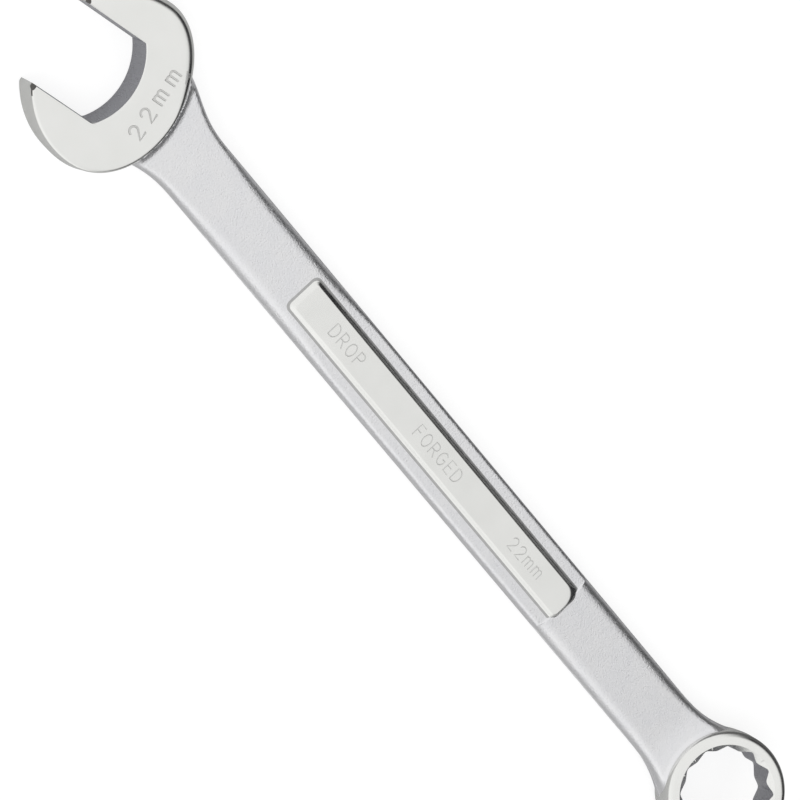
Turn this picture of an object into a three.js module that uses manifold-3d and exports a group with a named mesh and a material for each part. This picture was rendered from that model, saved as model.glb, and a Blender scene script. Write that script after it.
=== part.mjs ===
// Combination wrench, 22 mm: an open end at 15 degrees to the shank, and an offset twelve-point ring end.
// Millimetres, +Z up. The wrench lies flat on Z = 0 with its shank along +X, open end at the -X side.
// A wrench like this is one drop forging. Each mesh below is one forged region of it, and the regions
// meet face to face on flat planes across the shank.
import * as THREE from 'three';
import * as BufferGeometryUtils from 'three/addons/utils/BufferGeometryUtils.js';
import Module from 'manifold-3d';

// Nut size and open end. The jaw frame has its axis at JAW_ANGLE to the shank axis, and its origin
// where the two axes cross. "depth" runs along the jaw axis, from the mouth towards the shank.
const ACROSS_FLATS = 22;
const JAW_ANGLE = THREE.MathUtils.degToRad(15);
const HEAD_THICKNESS = 11.1;
const HEAD_HALF_WIDTH = 22.1;
const HEAD_CENTRE_DEPTH = -5.5;
const HEAD_FRONT_RADIUS = 21.7;
const HEAD_REAR_RADIUS = 16.4;
const HEAD_REAR_LEAN = 1.2;
const HEAD_EDGE_RADIUS = 0.9;
const JAW_TIP_DEPTH = -23.4;
const THROAT_DEPTH = -2.1;
const THROAT_RADIUS = 17;
const THROAT_FILLET = 2.2;

// Shank, drop forged to a rounded flat bar that widens towards both ends.
const SHANK_THICKNESS = 8;
const SHANK_HALF_WIDTH_OPEN_END = 8.9;
const SHANK_HALF_WIDTH_RING_END = 9.4;
const SHANK_EDGE_RADIUS = 1.5;
const OPEN_NECK_HALF_WIDTH = 13.4;
const NECK_START = 3;
const NECK_STEP = 3;
const OPEN_NECK_END = 27;

// Raised panels, one on each face of the shank, and the thinner stretch of bar beside them.
const PANEL_START = 62.5;
const PANEL_END = 176;
const PANEL_HALF_WIDTH_FOOT = 5.5;
const PANEL_HALF_WIDTH_TOP = 3.7;
const PANEL_CORNER_RADIUS = 1.2;
const PANEL_RISE = 0.9;
const THIN_DEPTH = 0.4;
const THIN_FADE = 24;
const THIN_END = 174.4;
const THIN_STEP_LENGTH = 0.01;
const SEAT_GAP = 0.3;
const SEAT_HEIGHT = 2;

// Ring end, tilted so that its far side rises.
const RING_TILT = THREE.MathUtils.degToRad(15);
const RING_CENTRE_X = 247.8;
const RING_THICKNESS = 13.2;
const RING_RADIUS = 16.55;
const RING_EDGE_RADIUS = 2.2;
const STAR_POINTS = 12;
const STAR_INNER_RADIUS = 11.39;
const STAR_OUTER_RADIUS = 12.7;
const LEAD_IN_RADIUS = STAR_OUTER_RADIUS + 0.1;
const LEAD_IN_REACH = 2.4;
const RING_NECK_START = 212;
const RING_NECK_HALF_WIDTH = 16.2;
const RING_FLARE_SHARPNESS = 1.5;
const RING_NECK_BEND = 18;
const BAR_END = 243;

// Derived heights and the split planes between the forged regions.
const MID_HEIGHT = HEAD_THICKNESS / 2;
const RING_CENTRE_HEIGHT = RING_RADIUS * Math.sin(RING_TILT) + RING_THICKNESS / 2 * Math.cos(RING_TILT)
    - RING_EDGE_RADIUS * (Math.sin(RING_TILT) + Math.cos(RING_TILT) - 1);
const HEAD_SPLIT = 14;
const NECK_SPLIT = 32;
const RING_NECK_SPLIT = 210;
const RING_SPLIT = 230;
const FAR = 400;

// Facets that stand for round shapes.
const HEAD_FACETS = 72;
const HEAD_EDGE_FACETS = 3;
const THROAT_FILLET_FACETS = 5;
const THROAT_FACETS = 12;
const BAR_CORNER_POINTS = 5;
const PANEL_CORNER_FACETS = 4;
const RING_FACETS = 60;
const RING_EDGE_FACETS = 4;
const THIN_FADE_STEPS = 4;

const wasm = await Module();
wasm.setup();

// ---- helpers: closed geometry to solid and back -------------------------------------------------

function stripped(geometry) {
    geometry.deleteAttribute('normal');
    geometry.deleteAttribute('uv');
    return geometry;
}

function toSolid(geometry) {
    const merged = BufferGeometryUtils.mergeVertices(stripped(geometry), 1e-4);
    return new wasm.Manifold(new wasm.Mesh({
        numProp: 3,
        vertProperties: new Float32Array(merged.attributes.position.array),
        triVerts: new Uint32Array(merged.index.array),
    }));
}

function toGeometry(solid) {
    const mesh = solid.getMesh();
    const geometry = new THREE.BufferGeometry();
    geometry.setAttribute('position', new THREE.BufferAttribute(new Float32Array(mesh.vertProperties), 3));
    geometry.setIndex(new THREE.BufferAttribute(new Uint32Array(mesh.triVerts), 1));
    return geometry;
}

function boxSolid(low, high) {
    const size = new THREE.Vector3().subVectors(high, low);
    const middle = new THREE.Vector3().addVectors(low, high).multiplyScalar(0.5);
    return toSolid(new THREE.BoxGeometry(size.x, size.y, size.z).translate(middle.x, middle.y, middle.z));
}

// The stretch of a solid between two planes across the shank.
function stretch(solid, from, to) {
    return solid.intersect(boxSolid(new THREE.Vector3(from, -FAR, -FAR), new THREE.Vector3(to, FAR, FAR)));
}

// A flat outline made into a plate from low to high, its edges rounded by edgeRadius.
function roundedPlate(points, low, high, edgeRadius, edgeSteps) {
    const geometry = new THREE.ExtrudeGeometry(new THREE.Shape(points), {
        depth: high - low - 2 * edgeRadius,
        bevelEnabled: edgeRadius > 0,
        bevelThickness: edgeRadius,
        bevelSize: edgeRadius,
        bevelOffset: -edgeRadius,
        bevelSegments: edgeSteps,
        curveSegments: 1,
    });
    return geometry.translate(0, 0, low + edgeRadius);
}

function smoothStep(t) {
    const s = THREE.MathUtils.clamp(t, 0, 1);
    return s * s * (3 - 2 * s);
}

// ---- open end -----------------------------------------------------------------------------------

// Outline of the head: half a circle at the jaws, and a flatter half ellipse behind the throat.
function headOutline() {
    const points = [];
    for (let i = 0; i < HEAD_FACETS; i++) {
        const turn = 2 * Math.PI * i / HEAD_FACETS;
        const along = Math.cos(turn);
        const reach = along > 0 ? HEAD_REAR_RADIUS : HEAD_FRONT_RADIUS;
        const lean = along > 0 ? HEAD_REAR_LEAN * along * along : 0;
        const across = HEAD_HALF_WIDTH * Math.sin(turn) - lean;
        points.push(new THREE.Vector2(HEAD_CENTRE_DEPTH + reach * along, across));
    }
    return points;
}

// Outline of the jaw mouth: two parallel flats, a shallow arc across the throat, a fillet on one side.
function mouthOutline() {
    const half = ACROSS_FLATS / 2;
    const arcCentre = THROAT_DEPTH - THROAT_RADIUS;
    const points = [new THREE.Vector2(-FAR / 4, half), new THREE.Vector2(-FAR / 4, -half)];
    const low = Math.asin((half - THROAT_FILLET) / (THROAT_RADIUS - THROAT_FILLET));
    const filletCentre = new THREE.Vector2(
        arcCentre + (THROAT_RADIUS - THROAT_FILLET) * Math.cos(low),
        THROAT_FILLET - half,
    );
    for (let i = 0; i <= THROAT_FILLET_FACETS; i++) {
        const turn = -Math.PI / 2 + (Math.PI / 2 - low) * i / THROAT_FILLET_FACETS;
        points.push(new THREE.Vector2(
            filletCentre.x + THROAT_FILLET * Math.cos(turn),
            filletCentre.y + THROAT_FILLET * Math.sin(turn),
        ));
    }
    const high = Math.asin(half / THROAT_RADIUS);
    for (let i = 1; i <= THROAT_FACETS; i++) {
        const turn = -low + (low + high) * i / THROAT_FACETS;
        points.push(new THREE.Vector2(
            arcCentre + THROAT_RADIUS * Math.cos(turn),
            THROAT_RADIUS * Math.sin(turn),
        ));
    }
    return points;
}

function openHeadBlank() {
    const plate = roundedPlate(headOutline(), 0, HEAD_THICKNESS, HEAD_EDGE_RADIUS, HEAD_EDGE_FACETS);
    return toSolid(plate.rotateZ(JAW_ANGLE));
}

// The space cleared by the mouth, and by the flat noses at the jaw tips.
function mouthSpace() {
    const mouth = toSolid(new THREE.ExtrudeGeometry(new THREE.Shape(mouthOutline()), {
        depth: 4 * HEAD_THICKNESS,
        bevelEnabled: false,
        curveSegments: 1,
    }).translate(0, 0, -HEAD_THICKNESS).rotateZ(JAW_ANGLE));
    const nose = toSolid(new THREE.BoxGeometry(FAR, FAR, FAR)
        .translate(JAW_TIP_DEPTH - FAR / 2, 0, 0).rotateZ(JAW_ANGLE));
    return mouth.add(nose);
}

// ---- shank --------------------------------------------------------------------------------------

// Half width of the bar across the shank at x, with its flares towards both ends.
function barHalfWidth(x) {
    const along = THREE.MathUtils.clamp((x - OPEN_NECK_END) / (RING_NECK_START - OPEN_NECK_END), 0, 1);
    const plain = THREE.MathUtils.lerp(SHANK_HALF_WIDTH_OPEN_END, SHANK_HALF_WIDTH_RING_END, along);
    const openFlare = (1 - smoothStep((x - NECK_START) / (OPEN_NECK_END - NECK_START))) ** 2;
    const intoRing = smoothStep((x - RING_NECK_START) / (RING_CENTRE_X - RING_NECK_START));
    const ringFlare = intoRing ** RING_FLARE_SHARPNESS;
    return plain + (OPEN_NECK_HALF_WIDTH - plain) * openFlare + (RING_NECK_HALF_WIDTH - plain) * ringFlare;
}

// Half thickness of the bar at x: it thins beside the panels, gently from the open end, with a step
// back up just before the panels' other end.
function barHalfThickness(x) {
    const thinned = x > THIN_END ? 0 : smoothStep((x - PANEL_START) / THIN_FADE);
    return SHANK_THICKNESS / 2 - THIN_DEPTH * thinned;
}

// Height that the bar's middle rises by, where it bends up into the tilted ring.
function barRise(x) {
    const bendCentre = RING_CENTRE_X - (RING_CENTRE_HEIGHT - MID_HEIGHT) / Math.tan(RING_TILT);
    const past = x - (bendCentre - RING_NECK_BEND / 2);
    const slope = Math.tan(RING_TILT);
    if (past <= 0) {
        return 0;
    }
    return past < RING_NECK_BEND ? slope * past * past / (2 * RING_NECK_BEND) : slope * (x - bendCentre);
}

// Stations along the bar where its section is set.
function barStations() {
    const stations = [];
    for (let x = NECK_START; x < OPEN_NECK_END; x += NECK_STEP) {
        stations.push(x);
    }
    stations.push(OPEN_NECK_END, PANEL_START);
    for (let i = 1; i <= THIN_FADE_STEPS; i++) {
        stations.push(PANEL_START + THIN_FADE * i / THIN_FADE_STEPS);
    }
    stations.push(THIN_END, THIN_END + THIN_STEP_LENGTH);
    for (let x = RING_NECK_START; x <= BAR_END; x += NECK_STEP) {
        stations.push(x);
    }
    return stations;
}

// The bar, as a cylinder whose rings are shaped into rounded rectangles at the stations.
function barSolid() {
    const stations = barStations();
    const around = 4 * BAR_CORNER_POINTS;
    const geometry = BufferGeometryUtils.mergeVertices(
        stripped(new THREE.CylinderGeometry(1, 1, 1, around, stations.length - 1)), 1e-4);
    const position = geometry.attributes.position;
    for (let i = 0; i < position.count; i++) {
        const station = Math.round((position.getY(i) + 0.5) * (stations.length - 1));
        const x = stations[station];
        const centred = Math.hypot(position.getX(i), position.getZ(i)) < 0.5;
        const turn = Math.atan2(-position.getZ(i), position.getX(i));
        const slot = Math.round(turn / (2 * Math.PI) * around + around) % around;
        const quarter = Math.floor(slot / BAR_CORNER_POINTS);
        const corner = Math.PI / 2 * (quarter + (slot % BAR_CORNER_POINTS) / (BAR_CORNER_POINTS - 1));
        const flatY = barHalfWidth(x) - SHANK_EDGE_RADIUS;
        const flatZ = barHalfThickness(x) - SHANK_EDGE_RADIUS;
        const signY = quarter === 0 || quarter === 3 ? 1 : -1;
        const signZ = quarter < 2 ? 1 : -1;
        const y = centred ? 0 : signY * flatY + SHANK_EDGE_RADIUS * Math.cos(corner);
        const z = centred ? 0 : signZ * flatZ + SHANK_EDGE_RADIUS * Math.sin(corner);
        position.setXYZ(i, x, y, MID_HEIGHT + barRise(x) + z);
    }
    return toSolid(geometry);
}

// A long outline with rounded corners, from start to end, about the shank axis.
function panelOutline(halfWidth, start, end, radius) {
    const corners = [
        [end - radius, halfWidth - radius],
        [start + radius, halfWidth - radius],
        [start + radius, radius - halfWidth],
        [end - radius, radius - halfWidth],
    ];
    return corners.flatMap(([x, y], quarter) => Array.from({ length: PANEL_CORNER_FACETS + 1 }, (_, i) => {
        const turn = Math.PI / 2 * (quarter + i / PANEL_CORNER_FACETS);
        return new THREE.Vector2(x + radius * Math.cos(turn), y + radius * Math.sin(turn));
    }));
}

// A raised panel: a long block with sloping sides and ends. side is +1 for the upper face of the shank
// and -1 for the lower one.
function raisedPanel(side) {
    const height = THIN_DEPTH + PANEL_RISE;
    const slope = PANEL_HALF_WIDTH_FOOT - PANEL_HALF_WIDTH_TOP;
    const foot = panelOutline(PANEL_HALF_WIDTH_FOOT, PANEL_START, PANEL_END, PANEL_CORNER_RADIUS + slope);
    const top = panelOutline(
        PANEL_HALF_WIDTH_TOP, PANEL_START + slope, PANEL_END - slope, PANEL_CORNER_RADIUS);
    const geometry = roundedPlate(foot, 0, height, 0, 1);
    const position = geometry.attributes.position;
    for (let i = 0; i < position.count; i++) {
        if (position.getZ(i) > height / 2) {
            const here = new THREE.Vector2(position.getX(i), position.getY(i));
            const match = top[foot.findIndex((point) => point.distanceTo(here) < 1e-3)];
            position.setXY(i, match.x, match.y);
        }
    }
    if (side < 0) {
        geometry.rotateX(Math.PI);
    }
    return geometry.translate(0, 0, MID_HEIGHT + side * (SHANK_THICKNESS / 2 - THIN_DEPTH));
}

// The seat that a panel stands in, where the bar beside it is higher than the panel's foot.
function panelSeat(side) {
    const floor = MID_HEIGHT + side * (SHANK_THICKNESS / 2 - THIN_DEPTH);
    const beyond = floor + side * SEAT_HEIGHT;
    const outline = panelOutline(PANEL_HALF_WIDTH_FOOT + SEAT_GAP, PANEL_START - SEAT_GAP,
        PANEL_END + SEAT_GAP, PANEL_CORNER_RADIUS + SEAT_GAP);
    return toSolid(roundedPlate(outline, Math.min(floor, beyond), Math.max(floor, beyond), 0, 1));
}

// ---- ring end -----------------------------------------------------------------------------------

// A shape made about the origin, tilted and moved to where the ring is.
function placedAtRing(geometry) {
    return geometry.rotateY(-RING_TILT).translate(RING_CENTRE_X, 0, RING_CENTRE_HEIGHT);
}

function ringBlank() {
    const profile = [];
    const half = RING_THICKNESS / 2;
    const inner = RING_RADIUS - RING_EDGE_RADIUS;
    profile.push(new THREE.Vector2(0, -half));
    for (let i = 0; i <= RING_EDGE_FACETS; i++) {
        const turn = -Math.PI / 2 + Math.PI / 2 * i / RING_EDGE_FACETS;
        profile.push(new THREE.Vector2(
            inner + RING_EDGE_RADIUS * Math.cos(turn), -half + RING_EDGE_RADIUS * (1 + Math.sin(turn))));
    }
    for (let i = 0; i <= RING_EDGE_FACETS; i++) {
        const turn = Math.PI / 2 * i / RING_EDGE_FACETS;
        profile.push(new THREE.Vector2(
            inner + RING_EDGE_RADIUS * Math.cos(turn), half - RING_EDGE_RADIUS * (1 - Math.sin(turn))));
    }
    profile.push(new THREE.Vector2(0, half));
    return toSolid(placedAtRing(new THREE.LatheGeometry(profile, RING_FACETS).rotateX(Math.PI / 2)));
}

// Twelve-point socket: two hexagons turned by 30 degrees from each other.
function starOutline() {
    const centre = new THREE.Vector2();
    const points = [];
    for (let i = 0; i < STAR_POINTS; i++) {
        const corner = 2 * Math.PI * (i + 0.5) / STAR_POINTS;
        const valley = 2 * Math.PI * (i + 1) / STAR_POINTS;
        points.push(new THREE.Vector2(STAR_OUTER_RADIUS, 0).rotateAround(centre, corner));
        points.push(new THREE.Vector2(STAR_INNER_RADIUS, 0).rotateAround(centre, valley));
    }
    return points;
}

// The space cleared by the socket and by the lead-in at each end of it.
function socketSpace() {
    const star = new THREE.ExtrudeGeometry(new THREE.Shape(starOutline()), {
        depth: 4 * RING_THICKNESS,
        bevelEnabled: false,
        curveSegments: 1,
    }).translate(0, 0, -2 * RING_THICKNESS);
    const half = RING_THICKNESS / 2;
    let space = toSolid(placedAtRing(star));
    for (const side of [-1, 1]) {
        const profile = [
            new THREE.Vector2(0, half - LEAD_IN_REACH),
            new THREE.Vector2(LEAD_IN_RADIUS - LEAD_IN_REACH, half - LEAD_IN_REACH),
            new THREE.Vector2(LEAD_IN_RADIUS + LEAD_IN_REACH, half + LEAD_IN_REACH),
            new THREE.Vector2(0, half + LEAD_IN_REACH),
        ];
        const cone = new THREE.LatheGeometry(profile, RING_FACETS).rotateX(Math.PI / 2);
        if (side < 0) {
            cone.rotateX(Math.PI);
        }
        space = space.add(toSolid(placedAtRing(cone)));
    }
    return space;
}

// ---- the forging and its regions ----------------------------------------------------------------

const bar = barSolid();
const seats = panelSeat(1).add(panelSeat(-1));
const openEnd = openHeadBlank().add(stretch(bar, 0, NECK_SPLIT)).subtract(mouthSpace());
const ringEnd = ringBlank().add(stretch(bar, RING_NECK_SPLIT, FAR)).subtract(socketSpace());

const polishedSteel = { color: 0xd6d7d6, roughness: 0.22, metalness: 0.95 };
const satinSteel = { color: 0xc8c9ca, roughness: 0.42, metalness: 0.95 };

function region(name, geometry, finish) {
    const mesh = new THREE.Mesh(geometry, new THREE.MeshStandardMaterial(finish));
    mesh.name = name;
    return mesh;
}

const regions = [
    region('open_end_head', toGeometry(stretch(openEnd, -FAR, HEAD_SPLIT)), polishedSteel),
    region('open_end_neck', toGeometry(stretch(openEnd, HEAD_SPLIT, NECK_SPLIT)), satinSteel),
    region('shank', toGeometry(stretch(bar, NECK_SPLIT, RING_NECK_SPLIT).subtract(seats)), satinSteel),
    region('upper_panel', raisedPanel(1), polishedSteel),
    region('lower_panel', raisedPanel(-1), polishedSteel),
    region('ring_end_neck', toGeometry(stretch(ringEnd, RING_NECK_SPLIT, RING_SPLIT)), satinSteel),
    region('ring_end_head', toGeometry(stretch(ringEnd, RING_SPLIT, FAR)), polishedSteel),
];

// The part's origin is the middle of its footprint on the bench.
const group = new THREE.Group();
regions.forEach((mesh) => group.add(mesh));
const extent = new THREE.Box3().setFromObject(group, true);
const middle = extent.getCenter(new THREE.Vector3());
regions.forEach((mesh) => mesh.position.set(-middle.x, -middle.y, -extent.min.z));

export default group;
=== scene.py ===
import math

import bmesh
import bpy
import numpy as np
from mathutils import Matrix, Vector


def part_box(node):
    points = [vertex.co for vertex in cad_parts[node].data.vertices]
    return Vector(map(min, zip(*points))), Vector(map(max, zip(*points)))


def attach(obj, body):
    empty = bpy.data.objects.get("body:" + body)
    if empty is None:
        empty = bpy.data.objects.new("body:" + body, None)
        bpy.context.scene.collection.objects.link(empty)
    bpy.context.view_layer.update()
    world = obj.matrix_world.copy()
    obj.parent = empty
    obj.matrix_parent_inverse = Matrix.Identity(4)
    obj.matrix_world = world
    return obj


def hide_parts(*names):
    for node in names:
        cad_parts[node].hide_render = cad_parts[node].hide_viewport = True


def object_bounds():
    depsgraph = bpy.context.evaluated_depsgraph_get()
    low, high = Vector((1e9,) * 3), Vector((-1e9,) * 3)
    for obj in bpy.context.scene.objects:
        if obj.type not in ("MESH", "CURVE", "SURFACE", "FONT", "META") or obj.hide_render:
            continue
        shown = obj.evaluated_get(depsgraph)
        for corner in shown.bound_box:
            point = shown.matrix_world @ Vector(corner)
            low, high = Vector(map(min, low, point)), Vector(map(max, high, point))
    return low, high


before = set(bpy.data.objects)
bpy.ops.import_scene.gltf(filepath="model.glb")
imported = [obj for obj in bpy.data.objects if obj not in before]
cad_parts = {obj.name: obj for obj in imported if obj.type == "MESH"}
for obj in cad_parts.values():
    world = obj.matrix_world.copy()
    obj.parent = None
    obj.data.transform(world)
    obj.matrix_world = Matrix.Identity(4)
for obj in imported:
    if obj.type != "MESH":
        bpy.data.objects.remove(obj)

CAD_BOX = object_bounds()
MM = 0.001
BODY = "root"
CRISP_EDGE_ANGLE = math.radians(32)

# ---- driving dimensions, millimetres --------------------------------------------------------------

HEAD_THICKNESS = 11.1
HEAD_HALF_WIDTH = 22.1
HEAD_CENTRE_DEPTH = -5.5
HEAD_FRONT_RADIUS = 21.7
HEAD_REAR_RADIUS = 16.4
HEAD_REAR_LEAN = 1.2
HEAD_EDGE_RADIUS = 1.0
HEAD_ROUND_EDGE_RADIUS = 2.9
HEAD_ROUND_EDGE_TURN = math.radians(80)
HEAD_ROUND_EDGE_FADE_START = 0.1
HEAD_ROUND_EDGE_FADE_SPAN = 0.8
HEAD_DRAFT = 0.4
HEAD_NOSE_CHAMFER = 1.1
HEAD_NOSE_CUT_PAST = 0.5
JAW_ANGLE = math.radians(15)
ACROSS_FLATS = 22.0
JAW_TIP_DEPTH = -23.4
THROAT_DEPTH = -2.1
THROAT_RADIUS = 17.0
THROAT_FILLET = 2.2
MOUTH_CHAMFER = 0.22
CLEAR = 60.0
CUT_HALF_HEIGHT = 20.0
SIZE_MARK_DEPTH = 3.6
SIZE_MARK_ACROSS = 0.6
SIZE_MARK_HEIGHT = 3.7
SIZE_MARK_SPACING = 2.5
SIZE_MARK_STROKE = 0.3
SIZE_MARK_AXIS_RISE = 0.1
SIZE_MARK_HALF_LENGTH = 11.0

SHANK_THICKNESS = 8.0
HALF_WIDTH_OPEN_END = 8.9
HALF_WIDTH_RING_END = 9.4
NECK_START = 3.0
OPEN_NECK_END = 27.0
OPEN_NECK_HALF_WIDTH = 13.4
PLAIN_EDGE = 3.3
THIN_EDGE = 1.3
NECK_EDGE = 1.8
NECK_EDGE_END = 20.0
NECK_EDGE_FADE = 22.0
RING_NECK_EDGE_FADE = 20.0
EDGE_TALLNESS = 0.85
EDGE_EXTRA_HEIGHT = 0.4
WALL_DRAFT = 0.35
WALL_TOP_SHARE = 0.75
PARTING_LINE_HEIGHTS = (0.0, 0.22, 0.5)
PARTING_LINE_SETBACKS = (0.0, 0.1, 0.12)
HEAD_FOOT_FILLET = 1.7
HEAD_CORE_CENTRE = (-6.0, -2.0)
HEAD_CORE_RADII = (17.5, 22.0)
HEAD_CORE_SHARE = 0.9

PANEL_START = 62.5
PANEL_END = 176.0
PANEL_HALF_WIDTH = 5.5
PANEL_RISE = 0.9
THIN_DEPTH = 0.4
THIN_FADE = 24.0
THIN_END = 174.4
THIN_STEP_LENGTH = 0.5
PANEL_TOP = SHANK_THICKNESS / 2 + PANEL_RISE
PANEL_BURIED_END = 0.6
PANEL_FOOT_RISE = 0.2
PANEL_FOOT_HEIGHT = 0.24
PANEL_CORNER_RADIUS = 1.7
PANEL_CORNER_CLOSING = 0.5
PANEL_CORNER_LEAST = 0.8
PANEL_END_CORNER_EXTRA = 0.4
PANEL_SWEPT_RADIUS = 0.8
PANEL_SWEPT_OPENING = 2.3
PANEL_MARKS = (("DROP", 81.0), ("FORGED", 119.0), ("22mm", 157.0))
PANEL_MARK_HEIGHT = 3.4
PANEL_MARK_SPACING = 1.15
PANEL_MARK_STROKE = 0.24
PANEL_MARK_AXIS_RISE = 0.17
PANEL_MARK_HALF_HEIGHT = 2.4
PANEL_MARK_END_GAP = 3.0
MARK_SKIN = 0.015
STROKE_CAP_TURNS = (80, 50, 25)

RING_TILT = math.radians(15)
RING_CENTRE_X = 247.8
RING_THICKNESS = 13.2
RING_RADIUS = 16.55
RING_EDGE_RADIUS = 2.3
RING_DRAFT = 0.15
STAR_INNER_RADIUS = 11.39
STAR_OUTER_RADIUS = 12.95
STAR_CORNER_EASE = 0.8
RING_NECK_START = 212.0
RING_NECK_HALF_WIDTH = 16.5
RING_NECK_FLARE_SHARPNESS = 3.3
RING_NECK_BEND = 18.0
RING_FOOT_FILLET = 1.2
RING_CORE_RADIUS = 14.6
LEAD_IN_RADIUS = STAR_OUTER_RADIUS + 0.1
LEAD_IN_DEPTH = 2.4
BAR_END = 243.0

NECK_SPLIT = 32.0
RING_NECK_SPLIT = 210.0

# ---- the wrench's own frame in the row frame ------------------------------------------------------

panel_low, panel_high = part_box("upper_panel")
head_low, head_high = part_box("open_end_head")
ORIGIN = Vector((
    panel_low.x - PANEL_START * MM,
    (panel_low.y + panel_high.y) / 2,
    (head_low.z + head_high.z) / 2,
))
CAD_RING_EDGE = 2.2
RING_CENTRE_Z = (
    (RING_RADIUS - CAD_RING_EDGE) * math.sin(RING_TILT)
    + (RING_THICKNESS / 2 - CAD_RING_EDGE) * math.cos(RING_TILT)
    + CAD_RING_EDGE - HEAD_THICKNESS / 2
)


def place(points):
    """Points in the wrench's frame, in millimetres, as row-frame coordinates in metres."""
    return np.asarray(points, float) * MM + np.array(ORIGIN)


def jaw_to_wrench(depth, across, z):
    """A point given along and across the jaw axis."""
    c, s = math.cos(JAW_ANGLE), math.sin(JAW_ANGLE)
    return np.stack(np.broadcast_arrays(depth * c - across * s, depth * s + across * c, z), -1)


def ring_to_wrench(x, y, z):
    """A point given in the tilted ring's own frame."""
    c, s = math.cos(RING_TILT), math.sin(RING_TILT)
    return np.stack(np.broadcast_arrays(
        RING_CENTRE_X + x * c - z * s, y, RING_CENTRE_Z + x * s + z * c), -1)


# ---- mesh helpers ---------------------------------------------------------------------------------

def loft(name, rings):
    """A closed mesh through rings of equal length, with its first and last rings capped."""
    rings = np.asarray(rings, float)
    count, around = rings.shape[:2]
    verts = place(rings.reshape(-1, 3))
    faces = []
    for i in range(count - 1):
        for j in range(around):
            k = (j + 1) % around
            faces.append((i * around + j, i * around + k, (i + 1) * around + k, (i + 1) * around + j))
    faces.append(tuple(range(around))[::-1])
    faces.append(tuple(range((count - 1) * around, count * around)))
    mesh = bpy.data.meshes.new(name)
    mesh.from_pydata([tuple(v) for v in verts], [], faces)
    grown = bmesh.new()
    grown.from_mesh(mesh)
    bmesh.ops.recalc_face_normals(grown, faces=grown.faces)
    grown.to_mesh(mesh)
    grown.free()
    piece = bpy.data.objects.new(name, mesh)
    bpy.context.scene.collection.objects.link(piece)
    return piece


def bake_modifiers(piece):
    """Replaces a piece's mesh by what its modifiers make of it."""
    evaluated = piece.evaluated_get(bpy.context.evaluated_depsgraph_get())
    mesh = bpy.data.meshes.new_from_object(evaluated)
    piece.modifiers.clear()
    old = piece.data
    piece.data = mesh
    bpy.data.meshes.remove(old)


def carve(piece, cutters):
    """Cuts closed cutters, which may overlap each other, out of the piece and removes them."""
    tools = bpy.data.collections.new("cutters")
    for cutter in cutters:
        tools.objects.link(cutter)
    cut = piece.modifiers.new("cut", "BOOLEAN")
    cut.operation = "DIFFERENCE"
    cut.solver = "EXACT"
    cut.operand_type = "COLLECTION"
    cut.collection = tools
    cut.use_self = True
    bake_modifiers(piece)
    for cutter in cutters:
        mesh = cutter.data
        bpy.data.objects.remove(cutter)
        bpy.data.meshes.remove(mesh)
    bpy.data.collections.remove(tools)


def smooth(piece):
    """Smooth shading that keeps the flats flat and the crisp edges crisp."""
    piece.data.shade_smooth()
    piece.data.set_sharp_from_angle(angle=CRISP_EDGE_ANGLE)
    weighted = piece.modifiers.new("normals", "WEIGHTED_NORMAL")
    weighted.keep_sharp = True
    bake_modifiers(piece)


def inset(outline, distance):
    """A closed outline moved inwards by a distance. The outline runs anticlockwise."""
    ahead = np.roll(outline, -1, 0) - outline
    behind = outline - np.roll(outline, 1, 0)
    along = (ahead / np.linalg.norm(ahead, axis=1)[:, None]
             + behind / np.linalg.norm(behind, axis=1)[:, None])
    length = np.linalg.norm(along, axis=1)
    along /= length[:, None]
    inwards = np.stack([-along[:, 1], along[:, 0]], 1)
    return outline + inwards * (distance * 2 / length)[:, None]


def smooth_step(t):
    s = np.clip(t, 0, 1)
    return s * s * (3 - 2 * s)


# ---- open end -------------------------------------------------------------------------------------

def head_outline(steps=240):
    """The head's outline in the jaw frame: nearly half a circle at the jaws, flatter behind the throat."""
    turn = np.arange(steps) * 2 * math.pi / steps
    along = np.cos(turn)
    reach = np.where(along > 0, HEAD_REAR_RADIUS, HEAD_FRONT_RADIUS)
    lean = np.where(along > 0, HEAD_REAR_LEAN * along ** 2, 0)
    return np.stack([HEAD_CENTRE_DEPTH + reach * along, HEAD_HALF_WIDTH * np.sin(turn) - lean], 1)


def mouth_outline():
    """The jaw mouth: two flats, a shallow arc across the throat and one filleted corner."""
    half = ACROSS_FLATS / 2
    centre = THROAT_DEPTH - THROAT_RADIUS
    low = math.asin((half - THROAT_FILLET) / (THROAT_RADIUS - THROAT_FILLET))
    high = math.asin(half / THROAT_RADIUS)
    fillet = np.linspace(-math.pi / 2, -low, 14)
    arc = np.linspace(-low, high, 48)[1:]
    fillet_x = centre + (THROAT_RADIUS - THROAT_FILLET) * math.cos(low)
    points = [(-CLEAR, half), (-CLEAR, -half)]
    points += [(fillet_x + THROAT_FILLET * math.cos(a), THROAT_FILLET - half + THROAT_FILLET * math.sin(a))
               for a in fillet]
    points += [(centre + THROAT_RADIUS * math.cos(a), THROAT_RADIUS * math.sin(a)) for a in arc]
    return np.array(points)


def edge_profile(half_height, radius, draft):
    """(inset, z) pairs from the lower face over the wall to the upper face, with rounded edges."""
    turns = np.linspace(0, math.pi / 2, 12)
    lower = [(draft + radius * (1 - math.sin(a)), -half_height + radius * (1 - math.cos(a))) for a in turns]
    upper = [(i, -z) for i, z in reversed(lower)]
    return lower + [(0.0, 0.0)] + upper


def prism(name, outline, levels, to_wrench):
    """A closed solid through (inset, z) levels of an outline."""
    rings = [to_wrench(*inset(outline, i).T, z) for i, z in levels]
    return loft(name, rings)


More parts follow.
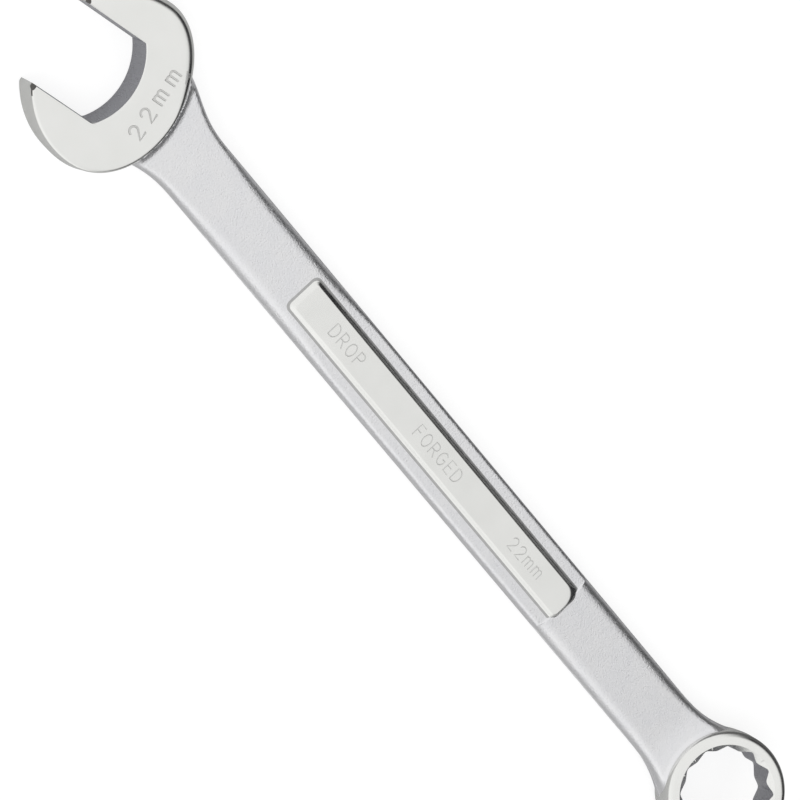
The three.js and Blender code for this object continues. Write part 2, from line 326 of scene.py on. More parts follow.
def head_roundness(outline):
    """1 where the disc's edge is polished round, beside one jaw, and 0 where it stays crisp."""
    turn = np.arctan2(outline[:, 1], outline[:, 0] - HEAD_CENTRE_DEPTH)
    nearness = np.cos(turn - HEAD_ROUND_EDGE_TURN)
    return smooth_step((nearness - HEAD_ROUND_EDGE_FADE_START) / HEAD_ROUND_EDGE_FADE_SPAN)


def make_head():
    """The open end's disc, cut by the jaw mouth, bevelled at the jaw tips and stamped."""
    half = HEAD_THICKNESS / 2
    outline = head_outline()
    roundness = head_roundness(outline)
    edge_radius = HEAD_EDGE_RADIUS + (HEAD_ROUND_EDGE_RADIUS - HEAD_EDGE_RADIUS) * roundness
    levels = edge_profile(half, edge_radius, HEAD_DRAFT * (1 - roundness))
    head = prism("open_end_head_forging", outline, levels, jaw_to_wrench)
    beyond = 1.5
    mouth_levels = [(-MOUTH_CHAMFER - beyond, -half - beyond), (0, -half + MOUTH_CHAMFER),
                    (0, half - MOUTH_CHAMFER), (-MOUTH_CHAMFER - beyond, half + beyond)]
    mouth = prism("mouth", mouth_outline(), mouth_levels, jaw_to_wrench)
    side_reach = 40.0
    nose_outline = np.array([(-CLEAR, -side_reach), (JAW_TIP_DEPTH, -side_reach),
                             (JAW_TIP_DEPTH, side_reach), (-CLEAR, side_reach)])
    nose = prism("nose", nose_outline, [(0, -CUT_HALF_HEIGHT), (0, CUT_HALF_HEIGHT)], jaw_to_wrench)
    bevel_foot = half - HEAD_NOSE_CHAMFER
    bevel_top = half + HEAD_NOSE_CUT_PAST
    bevel_end = JAW_TIP_DEPTH + HEAD_NOSE_CHAMFER + HEAD_NOSE_CUT_PAST
    nose_edge = np.array([(-CLEAR, bevel_foot), (JAW_TIP_DEPTH - 0.01, bevel_foot),
                          (bevel_end, bevel_top), (-CLEAR, bevel_top)])
    bevels = []
    for side in (-1, 1):
        ends = [jaw_to_wrench(nose_edge[:, 0], across, side * nose_edge[:, 1])
                for across in (-side_reach, side_reach)]
        bevels.append(loft("nose_bevel", ends))
    carve(head, [mouth, nose] + bevels)
    carve(head, size_mark_cutters())
    return head


# ---- stamped marks --------------------------------------------------------------------------------

def arc_points(cx, cy, rx, ry, start, end, steps):
    return [(cx + rx * math.cos(math.radians(a)), cy + ry * math.sin(math.radians(a)))
            for a in np.linspace(start, end, steps)]


def glyph(character):
    """Strokes of one of the characters 2mPRFEOGD on a unit height, and its width."""
    if character == "2":
        return [arc_points(0.3, 0.71, 0.29, 0.29, 165, -38, 16) + [(0.02, 0.0), (0.62, 0.0)]], 0.62
    if character == "m":
        left = arc_points(0.19, 0.58, 0.19, 0.19, 180, 0, 9)
        return [[(0, 0.08), (0, 0.77)], left + [(0.38, 0.08)],
                [(x + 0.38, y) for x, y in left] + [(0.76, 0.08)]], 0.76
    if character in "PR":
        leg = [[(0.28, 0.48), (0.58, 0)]] if character == "R" else []
        bowl = arc_points(0.3, 0.74, 0.26, 0.26, 90, -90, 9)
        return [[(0, 0), (0, 1)], [(0, 1), (0.3, 1)] + bowl + [(0, 0.48)]] + leg, 0.58
    if character in "FE":
        foot = [(0.52, 0)] if character == "E" else []
        return [foot + [(0, 0), (0, 1), (0.52, 1)], [(0, 0.52), (0.42, 0.52)]], 0.52
    if character == "O":
        return [arc_points(0.34, 0.5, 0.34, 0.5, 0, 360, 24)], 0.68
    if character == "G":
        return [arc_points(0.34, 0.5, 0.34, 0.5, 50, 340, 20) + [(0.66, 0.5), (0.42, 0.5)]], 0.66
    bow = arc_points(0.22, 0.5, 0.4, 0.5, 80, -80, 12)
    return [[(0, 0), (0, 1), (0.22, 1)] + bow + [(0.22, 0), (0, 0)]], 0.62


def stroke(name, path, radius, z, to_wrench):
    """A round-ended groove cutter along a path, centred at height z."""
    path = np.array(path, float)
    ahead = np.gradient(path, axis=0)
    ahead /= np.linalg.norm(ahead, axis=1)[:, None]
    side = np.stack([-ahead[:, 1], ahead[:, 0]], 1)
    around = 10
    turns = np.arange(around) * 2 * math.pi / around
    caps = [math.radians(a) for a in STROKE_CAP_TURNS]
    stations = [(path[0] - ahead[0] * radius * math.sin(a), side[0], math.cos(a)) for a in caps]
    stations += [(p, s, 1.0) for p, s in zip(path, side)]
    stations += [(path[-1] + ahead[-1] * radius * math.sin(a), side[-1], math.cos(a))
                 for a in reversed(caps)]
    rings = []
    for centre, across, scale in stations:
        u = centre[0] + across[0] * radius * scale * np.cos(turns)
        v = centre[1] + across[1] * radius * scale * np.cos(turns)
        rings.append(to_wrench(u, v, z + radius * scale * np.sin(turns)))
    return loft(name, rings)


def mark(text, height, spacing, radius, z, to_wrench):
    """Cutters for a line of text, centred. to_wrench takes (along the text, up the letters, z)."""
    strokes = [glyph(c) for c in text]
    total = sum(w for _, w in strokes) * height + spacing * (len(text) - 1)
    cursor = -total / 2
    cutters = []
    for index, (paths, width) in enumerate(strokes):
        for number, path in enumerate(paths):
            moved = [(cursor + x * height, (y - 0.5) * height) for x, y in path]
            cutters.append(stroke(f"mark_{index}_{number}", moved, radius, z, to_wrench))
        cursor += width * height + spacing
    return cutters


def size_mark_cutters():
    """The nut size, stamped into the head behind the throat, its baseline towards the shank."""
    def to_wrench(u, v, h):
        return jaw_to_wrench(SIZE_MARK_DEPTH - v, SIZE_MARK_ACROSS + u, h)

    z = HEAD_THICKNESS / 2 + SIZE_MARK_AXIS_RISE
    return mark("22mm", SIZE_MARK_HEIGHT, SIZE_MARK_SPACING, SIZE_MARK_STROKE, z, to_wrench)


# ---- shank and necks ------------------------------------------------------------------------------

def bar_half_width(x):
    """Half the bar's width at x, flaring towards both ends."""
    along = np.clip((x - OPEN_NECK_END) / (RING_NECK_START - OPEN_NECK_END), 0, 1)
    plain = HALF_WIDTH_OPEN_END + (HALF_WIDTH_RING_END - HALF_WIDTH_OPEN_END) * along
    open_flare = (1 - smooth_step((x - NECK_START) / (OPEN_NECK_END - NECK_START))) ** 2
    into_ring = smooth_step((x - RING_NECK_START) / (RING_CENTRE_X - RING_NECK_START))
    ring_flare = into_ring ** RING_NECK_FLARE_SHARPNESS
    return plain + (OPEN_NECK_HALF_WIDTH - plain) * open_flare + (RING_NECK_HALF_WIDTH - plain) * ring_flare


def fade_in(x):
    """How the bar thins from 0 at the panels' open end to 1."""
    return smooth_step((x - PANEL_START) / THIN_FADE)


def thinning(x):
    """0 on the plain bar and 1 beside the panels, with a crisp step back near their far end."""
    return fade_in(x) * (1 - smooth_step((x - THIN_END) / THIN_STEP_LENGTH))


def bar_rise(x):
    """How far the bar's middle has risen at x, where it bends up into the tilted ring."""
    bend_centre = RING_CENTRE_X - RING_CENTRE_Z / math.tan(RING_TILT)
    slope = math.tan(RING_TILT)
    past = x - (bend_centre - RING_NECK_BEND / 2)
    if past <= 0:
        return 0.0
    if past < RING_NECK_BEND:
        return slope * past * past / (2 * RING_NECK_BEND)
    return slope * (x - bend_centre)


HEAD_EDGE_POINTS = jaw_to_wrench(*inset(head_outline(480), HEAD_DRAFT).T, 0.0)[:, :2]


def foot_fillet(x, y, z):
    """Extra height where the bar's face runs up into the head's wall or the ring's wall."""
    extra = np.zeros_like(y)
    if x < OPEN_NECK_END:
        gaps = np.hypot(HEAD_EDGE_POINTS[:, 0, None] - x, HEAD_EDGE_POINTS[:, 1, None] - y[None, :]).min(0)
        core_x = (x - HEAD_CORE_CENTRE[0]) / HEAD_CORE_RADII[0]
        core_y = (y - HEAD_CORE_CENTRE[1]) / HEAD_CORE_RADII[1]
        gaps = np.where(np.hypot(core_x, core_y) < HEAD_CORE_SHARE, 0, gaps)
        room = np.clip(HEAD_FOOT_FILLET - gaps, 0, HEAD_FOOT_FILLET)
        extra += room ** 2 / (2 * HEAD_FOOT_FILLET)
    if x > RING_NECK_START:
        lift = z - RING_CENTRE_Z
        away = (x - RING_CENTRE_X) * math.cos(RING_TILT) + lift * math.sin(RING_TILT)
        gaps = np.hypot(away, y) - RING_RADIUS + RING_DRAFT
        room = np.clip(RING_FOOT_FILLET - np.clip(gaps, 0, None), 0, RING_FOOT_FILLET)
        extra += room ** 2 / (2 * RING_FOOT_FILLET)
    return extra


def bar_section(x):
    """The bar's closed outline across the shank at x. Its walls carry the forging's low parting line."""
    thin = float(thinning(x))
    width = float(bar_half_width(x))
    height = SHANK_THICKNESS / 2 - THIN_DEPTH * thin
    at_open_neck = 1 - smooth_step((x - NECK_EDGE_END) / NECK_EDGE_FADE)
    at_ring_neck = smooth_step((x - RING_NECK_START) / RING_NECK_EDGE_FADE)
    plain_edge = PLAIN_EDGE + (NECK_EDGE - PLAIN_EDGE) * max(at_open_neck, at_ring_neck)
    edge_y = plain_edge + (THIN_EDGE - plain_edge) * thin
    edge_z = EDGE_TALLNESS * edge_y + EDGE_EXTRA_HEIGHT
    turns = np.linspace(0, math.pi / 2, 13)
    wall_z = np.array([*PARTING_LINE_HEIGHTS, (height - edge_z) * WALL_TOP_SHARE])
    setback = np.array([*PARTING_LINE_SETBACKS, 0.0])
    wall_y = width - WALL_DRAFT * (wall_z / (height - edge_z)) - setback
    arc_y = width - WALL_DRAFT - edge_y + edge_y * np.cos(turns)
    arc_z = height - edge_z + edge_z * np.sin(turns)
    flat = np.linspace(1, -1, 81)[1:-1] * arc_y[-1]
    right_y = np.concatenate([wall_y, arc_y])
    right_z = np.concatenate([wall_z, arc_z])
    y = np.concatenate([right_y, flat, -right_y[::-1]])
    top = np.concatenate([right_z, np.full(flat.shape, height), right_z[::-1]])
    on_top = np.clip((top - (height - edge_z)) / edge_z, 0, 1)
    rise = bar_rise(x)
    upper = top + foot_fillet(x, y, top + rise) * on_top
    lower = top + foot_fillet(x, y, -top + rise) * on_top
    ring_y = np.concatenate([y, y[::-1][1:-1]])
    ring_z = np.concatenate([upper, -lower[::-1][1:-1]]) + rise
    return np.stack([np.full(ring_y.shape, x), ring_y, ring_z], 1)


def bar_stretch(name, start, end):
    """The bar between two stations, with closer stations where its section changes."""
    stations = [start]
    while stations[-1] < end - 1e-6:
        x = stations[-1]
        near_step = THIN_END - 1 < x < THIN_END + 1
        near_end = x < OPEN_NECK_END or x > RING_NECK_START
        stations.append(min(end, x + (0.1 if near_step else 0.3 if near_end else 1.0)))
    return loft(name, [bar_section(x) for x in stations])


def make_necks_and_shank():
    """The bar in three pieces. The ring neck is cut back from the ring's opening."""
    open_neck = bar_stretch("open_end_neck_forging", NECK_START, NECK_SPLIT)
    shank = bar_stretch("shank_forging", NECK_SPLIT, RING_NECK_SPLIT)
    ring_neck = bar_stretch("ring_end_neck_forging", RING_NECK_SPLIT, BAR_END)
    turns = np.arange(96) * 2 * math.pi / 96
    core_x, core_y = RING_CORE_RADIUS * np.cos(turns), RING_CORE_RADIUS * np.sin(turns)
    core = loft("core", [ring_to_wrench(core_x, core_y, z) for z in (-CUT_HALF_HEIGHT, CUT_HALF_HEIGHT)])
    carve(ring_neck, [core])
    return open_neck, shank, ring_neck


# ---- raised panels --------------------------------------------------------------------------------

def bar_face(x):
    """Height of the bar's face at x, beside the panels."""
    return SHANK_THICKNESS / 2 - THIN_DEPTH * thinning(x)


def panel_ring(drop_in, rise):
    """The panel's outline at one level: how far in from its foot, and what part of the way up."""
    half = PANEL_HALF_WIDTH - drop_in
    start, end = PANEL_START + drop_in, PANEL_END + PANEL_BURIED_END - drop_in
    near = max(PANEL_CORNER_RADIUS - drop_in * PANEL_CORNER_CLOSING, PANEL_CORNER_LEAST)
    far = near + PANEL_END_CORNER_EXTRA
    swept = PANEL_SWEPT_RADIUS + PANEL_SWEPT_OPENING * drop_in
    corners = [(end, half, swept), (start, half, near), (start, -half, near), (end, -half, far)]
    outline = []
    for quarter, (x, y, radius) in enumerate(corners):
        cx = x - radius * (1 if quarter in (0, 3) else -1)
        cy = y - radius * (1 if quarter in (0, 1) else -1)
        for a in np.linspace(0, math.pi / 2, 12):
            turn = quarter * math.pi / 2 + a
            outline.append((cx + radius * math.cos(turn), cy + radius * math.sin(turn)))
        if quarter in (0, 2):
            ahead = start + near if quarter == 0 else end - far
            outline += [(x_side, y) for x_side in np.linspace(outline[-1][0], ahead, 41)[1:-1]]
    outline = np.array(outline)
    foot = SHANK_THICKNESS / 2 - THIN_DEPTH * fade_in(outline[:, 0])
    return np.column_stack([outline, foot + rise * (PANEL_TOP - foot)])


def make_panel(name, side):
    """A raised panel: a buried foot, a flank that steepens upwards, and a flat top with eased edges."""
    slope = [(0.0, -0.4), (0.0, 0.0), (0.28, 0.07), (0.62, PANEL_FOOT_RISE), (0.85, 0.38), (1.1, 0.58),
             (1.35, 0.78), (1.5, 0.89), (1.64, 0.95), (1.84, 0.988), (2.05, 1.0)]
    rings = [panel_ring(drop_in, rise) for drop_in, rise in slope]
    panel = loft(name, [ring * (1, side, side) for ring in rings])
    groove_z = side * (PANEL_TOP + PANEL_MARK_AXIS_RISE)
    cutters = []
    for text, middle in PANEL_MARKS:
        def to_wrench(u, v, h, x=middle):
            return np.stack(np.broadcast_arrays(x + u, side * v, h), -1)

        cutters += mark(text, PANEL_MARK_HEIGHT, PANEL_MARK_SPACING, PANEL_MARK_STROKE, groove_z, to_wrench)
    carve(panel, cutters)
    return panel


# ---- ring end -------------------------------------------------------------------------------------

def star_outline():
    """The twelve-point opening, with its corners and cusps eased by short curves."""
    raw = []
    for i in range(12):
        for radius, offset in ((STAR_OUTER_RADIUS, 0.5), (STAR_INNER_RADIUS, 1.0)):
            turn = 2 * math.pi * (i + offset) / 12
            raw.append((radius * math.cos(turn), radius * math.sin(turn)))
    raw = np.array(raw)
    points = []
    for i, corner in enumerate(raw):
        before = raw[i - 1] - corner
        after = raw[(i + 1) % len(raw)] - corner
        before /= np.linalg.norm(before)
        after /= np.linalg.norm(after)
        start, end = corner + before * STAR_CORNER_EASE, corner + after * STAR_CORNER_EASE
        for t in np.linspace(0, 1, 6):
            points.append((1 - t) ** 2 * start + 2 * t * (1 - t) * corner + t * t * end)
    return np.array(points)


def make_ring():
    """The tilted ring, its twelve-point opening, and a lead-in cone at each end of the opening."""
    half = RING_THICKNESS / 2
    turns = np.arange(192) * 2 * math.pi / 192
    levels = edge_profile(half, RING_EDGE_RADIUS, RING_DRAFT)
    circle = np.stack([np.cos(turns), np.sin(turns)], 1)
    ring = prism("ring_end_head_forging", RING_RADIUS * circle, levels, ring_to_wrench)
    star = prism("star", star_outline(), [(0, -CUT_HALF_HEIGHT), (0, CUT_HALF_HEIGHT)], ring_to_wrench)
    cutters = [star]
    beyond = 1.0
    for side in (-1, 1):
        cone = [(LEAD_IN_RADIUS - LEAD_IN_DEPTH, side * (half - LEAD_IN_DEPTH)),
                (LEAD_IN_RADIUS, side * half), (LEAD_IN_RADIUS + beyond, side * (half + beyond))]
        rings = [ring_to_wrench(*(circle * r).T, z) for r, z in cone]
        cutters.append(loft("lead_in", rings))
    carve(ring, cutters)
    return ring


# ---- materials ------------------------------------------------------------------------------------

def material(name, colour, roughness):
    made = bpy.data.materials.new(name)
    made.use_nodes = True
    shader = made.node_tree.nodes["Principled BSDF"]
    shader.inputs["Base Color"].default_value = (*colour, 1)
    shader.inputs["Metallic"].default_value = 1.0
    shader.inputs["Roughness"].default_value = roughness
    return made, shader


def add_node(tree, kind, **settings):
    node = tree.nodes.new(kind)
    for key, value in settings.items():
        setattr(node, key, value)
    return node


def noise(tree, vector, scale, detail, roughness=0.5):
    node = add_node(tree, "ShaderNodeTexNoise")
    node.inputs["Scale"].default_value = scale
    node.inputs["Detail"].default_value = detail
    node.inputs["Roughness"].default_value = roughness
    tree.links.new(vector, node.inputs["Vector"])
    return node.outputs["Fac"]


def remap(tree, value, low, high, to_low, to_high):
    node = add_node(tree, "ShaderNodeMapRange")
    for key, number in (("From Min", low), ("From Max", high), ("To Min", to_low), ("To Max", to_high)):
        node.inputs[key].default_value = number
    tree.links.new(value, node.inputs["Value"])
    return node.outputs["Result"]


def tint(tree, factor, first, second):
    node = add_node(tree, "ShaderNodeMix", data_type="RGBA")
    node.inputs["A"].default_value = (*first, 1)
    node.inputs["B"].default_value = (*second, 1)
    tree.links.new(factor, node.inputs["Factor"])
    return node.outputs["Result"]


def bump(tree, height, distance, strength, normal=None):
    """A normal bent by a height, on top of another normal where one is given."""
    node = add_node(tree, "ShaderNodeBump")
    node.inputs["Strength"].default_value = strength
    node.inputs["Distance"].default_value = distance
    tree.links.new(height, node.inputs["Height"])
    if normal:
        tree.links.new(normal, node.inputs["Normal"])
    return node.outputs["Normal"]


def stretched(tree, vector, scale):
    node = add_node(tree, "ShaderNodeMapping")
    node.inputs["Scale"].default_value = scale
    tree.links.new(vector, node.inputs["Vector"])
    return node.outputs["Vector"]


def satin_chrome():
    """Bead-blasted plate: a fine even grain over a coarser one, and faint clouds."""
    made, shader = material("satin_chrome_plate", (0.80, 0.805, 0.82), 0.32)
    tree = made.node_tree
    where = add_node(tree, "ShaderNodeTexCoord").outputs["Object"]
    grain = noise(tree, where, 2200, 3, 0.6)
    clouds = noise(tree, where, 160, 3)
    colour = tint(tree, clouds, (0.79, 0.795, 0.82), (0.87, 0.865, 0.865))
    tree.links.new(colour, shader.inputs["Base Color"])
    tree.links.new(remap(tree, grain, 0.3, 0.7, 0.26, 0.38), shader.inputs["Roughness"])
    coarse = bump(tree, noise(tree, where, 900, 2), 0.00007, 0.8)
    tree.links.new(bump(tree, grain, 0.00014, 1.0, coarse), shader.inputs["Normal"])
    return made


def polished_chrome():
    """Polished plate: a soft shine with fine polishing lines along the wrench, and haze."""
    made, shader = material("polished_chrome_plate", (0.80, 0.80, 0.79), 0.2)
    tree = made.node_tree
    where = add_node(tree, "ShaderNodeTexCoord").outputs["Object"]
    lines = noise(tree, stretched(tree, where, (700, 5200, 5200)), 1.0, 2)
    haze = noise(tree, where, 130, 3)
    tree.links.new(tint(tree, haze, (0.79, 0.795, 0.77), (0.89, 0.89, 0.87)), shader.inputs["Base Color"])
    tree.links.new(remap(tree, haze, 0.3, 0.7, 0.17, 0.27), shader.inputs["Roughness"])
    soft = bump(tree, noise(tree, where, 240, 1), 0.00006, 0.4)
    tree.links.new(bump(tree, lines, 0.000008, 0.5, soft), shader.inputs["Normal"])
    return made


def tool_lined_shaded_steel():
    """The cut faces of the jaws and the socket: tool lines through the thickness, and a darker colour that
    is painted shade inside the mouth and the socket.
    """
    made, shader = material("tool_lined_shaded_steel", (0.5, 0.505, 0.53), 0.3)
    tree = made.node_tree
    where = add_node(tree, "ShaderNodeTexCoord").outputs["Object"]
    lines = noise(tree, stretched(tree, where, (3600, 3600, 260)), 1.0, 3)
    tree.links.new(tint(tree, lines, (0.46, 0.465, 0.5), (0.56, 0.56, 0.59)), shader.inputs["Base Color"])
    tree.links.new(remap(tree, lines, 0.3, 0.7, 0.24, 0.4), shader.inputs["Roughness"])
    tree.links.new(bump(tree, lines, 0.00002, 0.6), shader.inputs["Normal"])
    return made


def recessed_chrome(name, dark, light):
    """Dull, greyer plate with a colour mixed at random between dark and light: painted shade in the marks
    and at the panels' feet, and near black on the jaw-tip bevels.
    """
    made, shader = material(name, dark, 0.45)
    tree = made.node_tree
    where = add_node(tree, "ShaderNodeTexCoord").outputs["Object"]
    mottle = noise(tree, where, 900, 3)
    tree.links.new(tint(tree, mottle, dark, light), shader.inputs["Base Color"])
    tree.links.new(remap(tree, mottle, 0.3, 0.7, 0.38, 0.55), shader.inputs["Roughness"])
    tree.links.new(bump(tree, mottle, 0.00004, 0.8), shader.inputs["Normal"])
    return made


def paint_faces(piece, finish, inside):
    """Gives another material to the faces whose centre and normal pass the test."""
    piece.data.materials.append(finish)
    slot = len(piece.data.materials) - 1
    for face in piece.data.polygons:
        centre = (np.array(face.center) - np.array(ORIGIN)) / MM
        if inside(centre, face.normal):
            face.material_index = slot


def in_jaw_frame(x, y):
    """How far a point lies along and across the jaw axis."""
    c, s = math.cos(JAW_ANGLE), math.sin(JAW_ANGLE)
    return x * c + y * s, y * c - x * s


def in_mouth(centre, normal):
    depth, across = in_jaw_frame(centre[0], centre[1])
    between_jaws = JAW_TIP_DEPTH + 0.05 < depth < THROAT_DEPTH + 0.3
    return between_jaws and abs(normal.z) < 0.2 and abs(across) < ACROSS_FLATS / 2 + 0.15


def in_socket(centre, normal):
    c, s = math.cos(RING_TILT), math.sin(RING_TILT)
    away = (centre[0] - RING_CENTRE_X) * c + (centre[2] - RING_CENTRE_Z) * s
    up = normal.z * c - normal.x * s
    return abs(up) < 0.35 and math.hypot(away, centre[1]) < LEAD_IN_RADIUS


def on_nose_bevel(centre, normal):
    depth = in_jaw_frame(centre[0], centre[1])[0]
    forwards = -in_jaw_frame(normal.x, normal.y)[0]
    at_tip = depth < JAW_TIP_DEPTH + HEAD_NOSE_CHAMFER + HEAD_NOSE_CUT_PAST
    return at_tip and forwards > 0.5 and 0.4 < abs(normal.z) < 0.9


def in_head_mark(centre, normal):
    depth, across = in_jaw_frame(centre[0], centre[1])
    below_face = HEAD_THICKNESS / 2 - centre[2]
    behind_throat = 0.5 < depth < 7.2 and abs(across) < SIZE_MARK_HALF_LENGTH
    return behind_throat and MARK_SKIN < below_face < 0.5


def in_panel_mark(centre, normal):
    in_length = PANEL_START + PANEL_MARK_END_GAP < centre[0] < PANEL_END - PANEL_MARK_END_GAP
    on_face = in_length and abs(centre[1]) < PANEL_MARK_HALF_HEIGHT
    return on_face and MARK_SKIN < PANEL_TOP - abs(centre[2]) < 0.4


def at_panel_foot(centre, normal):
    """The lowest strip of a panel's flank, just above the bar, which gets a painted line of shade."""
    return abs(centre[2]) - bar_face(centre[0]) < PANEL_FOOT_HEIGHT


# ---- the object -----------------------------------------------------------------------------------

polished = polished_chrome()
satin = satin_chrome()
tool_lined_shaded = tool_lined_shaded_steel()
# Painted shade: the stamped marks' grooves are painted a darker grey than the plate around them.
mark_shade_plate = recessed_chrome("stamped_mark_painted_shade", (0.62, 0.62, 0.61), (0.76, 0.76, 0.74))
# Painted shade: a dark grey line along the crease where each panel's flank meets the bar.
foot_shade_plate = recessed_chrome("panel_foot_painted_shade", (0.36, 0.36, 0.36), (0.56, 0.56, 0.55))
# The jaw-tip bevels, painted near black.
near_black_bevel = recessed_chrome("near_black_nose_bevel", (0.05, 0.05, 0.05), (0.2, 0.19, 0.18))


def finish_piece(piece, nodes, finish):
    piece.data.materials.clear()
    piece.data.materials.append(finish)
    smooth(piece)
    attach(piece, BODY)
    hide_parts(*nodes)


head = make_head()
finish_piece(head, ["open_end_head"], polished)
# Painted shade: the jaw mouth's faces are darker than the plate.
paint_faces(head, tool_lined_shaded, in_mouth)
# Painted shade in the head's stamped grooves.
paint_faces(head, mark_shade_plate, in_head_mark)
# The jaw-tip bevels get the near-black colour.
paint_faces(head, near_black_bevel, on_nose_bevel)

open_neck, shank, ring_neck = make_necks_and_shank()
finish_piece(open_neck, ["open_end_neck"], satin)
finish_piece(shank, ["shank"], satin)
finish_piece(ring_neck, ["ring_end_neck"], satin)

for node, side in (("upper_panel", 1), ("lower_panel", -1)):
    panel = make_panel(node + "_forging", side)
    finish_piece(panel, [node], polished)
    # Painted shade in the panel's stamped grooves.
    paint_faces(panel, mark_shade_plate, in_panel_mark)
    # Painted shade along the panel's foot.
    paint_faces(panel, foot_shade_plate, at_panel_foot)

ring = make_ring()
finish_piece(ring, ["ring_end_head"], polished)
# Painted shade: the socket's walls are darker than the plate.
paint_faces(ring, tool_lined_shaded, in_socket)

# ---- stage, light and camera ----------------------------------------------------------------------

FLOOR_HALF_SIZE = 6.0
FLOOR_GAP = 0.0001
FLOOR_GLOW = 0.76
DARK_FLOOR_ACROSS = (0.016, 0.030)
DARK_FLOOR_ALONG = (-0.10, -0.02)
DARK_FLOOR_LEAST = 0.1
FAR_SIDE = (0.70, 0.71, 0)
FAR_SIDE_FADE = (0.1, 0.6)
FLAG_HEIGHT_FADE = (0.42, 0.68)
LEFT_FADE = (0.2, 0.8)
NEAR_RING_FADE = (0.28, 0.42)
KEY_LOCATION = (-0.25, -0.35, 0.9)
KEY_SIZE = (0.8, 0.8)
KEY_POWER = 2.5


def make_floor():
    """A plain pale floor. Reflections see a greyer one, darker on the far side of the shank: painted shade
    that only the wrench's reflections show.
    """
    mesh = bpy.data.meshes.new("floor")
    h = FLOOR_HALF_SIZE
    mesh.from_pydata([(-h, -h, 0), (h, -h, 0), (h, h, 0), (-h, h, 0)], [], [(0, 1, 2, 3)])
    floor = bpy.data.objects.new("floor", mesh)
    bpy.context.scene.collection.objects.link(floor)
    floor.location.z = CAD_BOX[0].z - FLOOR_GAP
    made = bpy.data.materials.new("pale_floor")
    made.use_nodes = True
    tree = made.node_tree
    tree.nodes.clear()
    out = add_node(tree, "ShaderNodeOutputMaterial")
    seen = add_node(tree, "ShaderNodeBsdfDiffuse")
    seen.inputs["Color"].default_value = (0.3, 0.3, 0.3, 1)
    glow = add_node(tree, "ShaderNodeEmission")
    glow.inputs["Color"].default_value = (1, 1, 1, 1)
    glow.inputs["Strength"].default_value = FLOOR_GLOW
    pale = add_node(tree, "ShaderNodeAddShader")
    tree.links.new(seen.outputs[0], pale.inputs[0])
    tree.links.new(glow.outputs[0], pale.inputs[1])
    where = add_node(tree, "ShaderNodeSeparateXYZ")
    tree.links.new(add_node(tree, "ShaderNodeTexCoord").outputs["Object"], where.inputs[0])
    start, full = DARK_FLOOR_ACROSS
    across = remap(tree, where.outputs["Y"], ORIGIN.y + start, ORIGIN.y + full, 0, 1)
    along = remap(tree, where.outputs["X"], *DARK_FLOOR_ALONG, DARK_FLOOR_LEAST, 1)
    shade = combine(tree, "MULTIPLY", across, along)
    mirrored = add_node(tree, "ShaderNodeBsdfDiffuse")
    tree.links.new(tint(tree, shade, (0.5, 0.5, 0.5), (0.1, 0.1, 0.1)), mirrored.inputs["Color"])
    mix = add_node(tree, "ShaderNodeMixShader")
    tree.links.new(add_node(tree, "ShaderNodeLightPath").outputs["Is Glossy Ray"], mix.inputs["Fac"])
    tree.links.new(pale.outputs[0], mix.inputs[1])
    tree.links.new(mirrored.outputs[0], mix.inputs[2])
    tree.links.new(mix.outputs[0], out.inputs["Surface"])
    mesh.materials.append(made)


def towards(tree, direction, axis):
    """How far a direction points along a unit axis."""
    node = add_node(tree, "ShaderNodeVectorMath", operation="DOT_PRODUCT")
    node.inputs[1].default_value = Vector(axis).normalized()
    tree.links.new(direction, node.inputs[0])
    return node.outputs["Value"]


def combine(tree, operation, first, second):
    node = add_node(tree, "ShaderNodeMath", operation=operation)
    tree.links.new(first, node.inputs[0])
    tree.links.new(second, node.inputs[1])
    return node.outputs["Value"]


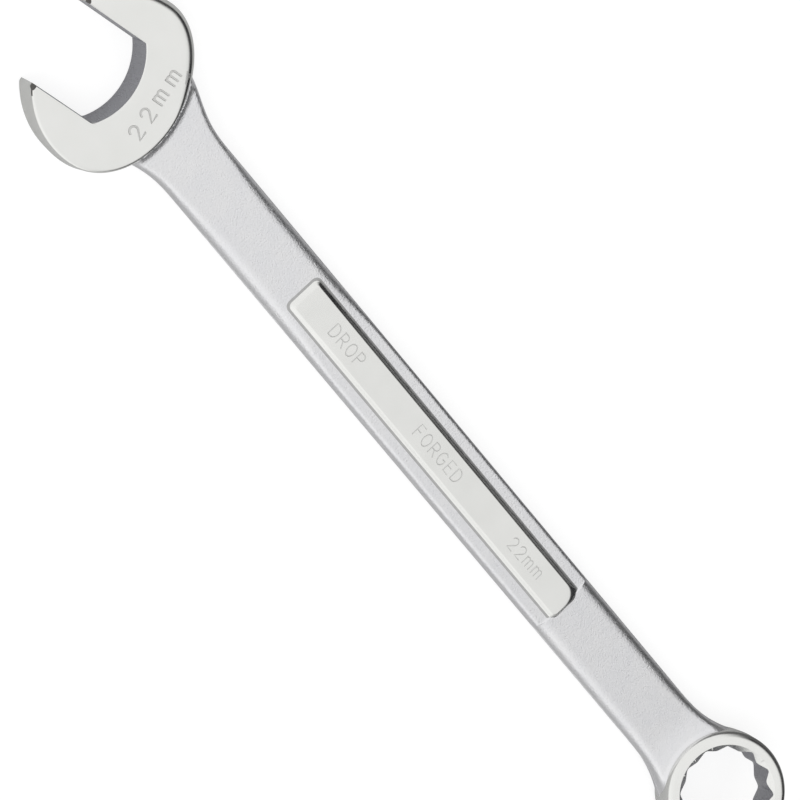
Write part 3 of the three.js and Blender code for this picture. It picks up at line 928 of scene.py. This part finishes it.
def make_world():
    """Soft surroundings, brighter on the left, with a low black flag on the far right. The camera's
    own rays see plain white.
    """
    world = bpy.data.worlds.new("studio")
    bpy.context.scene.world = world
    world.use_nodes = True
    tree = world.node_tree
    background = tree.nodes["Background"]
    direction = add_node(tree, "ShaderNodeTexCoord").outputs["Generated"]
    height = towards(tree, direction, (0, 0, 1))
    far_side = remap(tree, towards(tree, direction, FAR_SIDE), *FAR_SIDE_FADE, 0, 1)
    low = remap(tree, height, *FLAG_HEIGHT_FADE, 1, 0)
    flag = combine(tree, "MULTIPLY", far_side, low)
    left = remap(tree, towards(tree, direction, (0, -1, 0)), *LEFT_FADE, 0, 1)
    near = remap(tree, towards(tree, direction, (1, 0, 0)), *NEAR_RING_FADE, 1, 0)
    overhead = tint(tree, near, (0.86, 0.86, 0.86), (0.94, 0.94, 0.94))
    around = add_node(tree, "ShaderNodeMix", data_type="RGBA")
    around.inputs["B"].default_value = (1.03, 1.03, 1.03, 1)
    tree.links.new(left, around.inputs["Factor"])
    tree.links.new(overhead, around.inputs["A"])
    colour = add_node(tree, "ShaderNodeMix", data_type="RGBA")
    colour.inputs["B"].default_value = (0.02, 0.02, 0.022, 1)
    tree.links.new(flag, colour.inputs["Factor"])
    tree.links.new(around.outputs["Result"], colour.inputs["A"])
    paths = add_node(tree, "ShaderNodeLightPath")
    shown = add_node(tree, "ShaderNodeMix", data_type="RGBA")
    shown.inputs["B"].default_value = (1.0, 1.0, 1.0, 1)
    tree.links.new(paths.outputs["Is Camera Ray"], shown.inputs["Factor"])
    tree.links.new(colour.outputs["Result"], shown.inputs["A"])
    tree.links.new(shown.outputs["Result"], background.inputs["Color"])
    background.inputs["Strength"].default_value = 1.0


def add_softbox(name, location, target, size, power):
    light = bpy.data.lights.new(name, "AREA")
    light.shape = "RECTANGLE"
    light.size, light.size_y = size
    light.energy = power
    lamp = bpy.data.objects.new(name, light)
    bpy.context.scene.collection.objects.link(lamp)
    lamp.location = location
    lamp.rotation_euler = (Vector(target) - Vector(location)).to_track_quat("-Z", "Y").to_euler()
    lamp.visible_camera = False
    lamp.visible_glossy = False


# The viewpoint: a point on the shank, and how the camera stands to it.
CAMERA_TARGET = (103.4, 1.96, 0.0)
CAMERA_DISTANCE = 765.8
CAMERA_AZIMUTH = math.radians(-73.57)
CAMERA_ELEVATION = math.radians(63.65)
CAMERA_ROLL = math.radians(121.9)
CAMERA_LENS = 140.7


def make_camera():
    a, e = CAMERA_AZIMUTH, CAMERA_ELEVATION
    back = Vector((math.sin(a) * math.cos(e), -math.cos(a) * math.cos(e), math.sin(e)))
    level = Vector((0, 0, 1)).cross(back).normalized()
    upright = back.cross(level)
    right = level * math.cos(CAMERA_ROLL) + upright * math.sin(CAMERA_ROLL)
    up = back.cross(right)
    data = bpy.data.cameras.new("camera")
    data.sensor_width = 36
    data.lens = CAMERA_LENS
    data.clip_start, data.clip_end = 0.01, 50
    camera = bpy.data.objects.new("camera", data)
    bpy.context.scene.collection.objects.link(camera)
    target = Vector(place(CAMERA_TARGET))
    turn = Matrix((right, up, back)).transposed().to_4x4()
    camera.matrix_world = Matrix.Translation(target + back * CAMERA_DISTANCE * MM) @ turn
    bpy.context.scene.camera = camera


make_floor()
make_world()
add_softbox("key", KEY_LOCATION, (0, 0, 0), KEY_SIZE, KEY_POWER)
make_camera()
bpy.context.scene.view_settings.view_transform = "Standard"
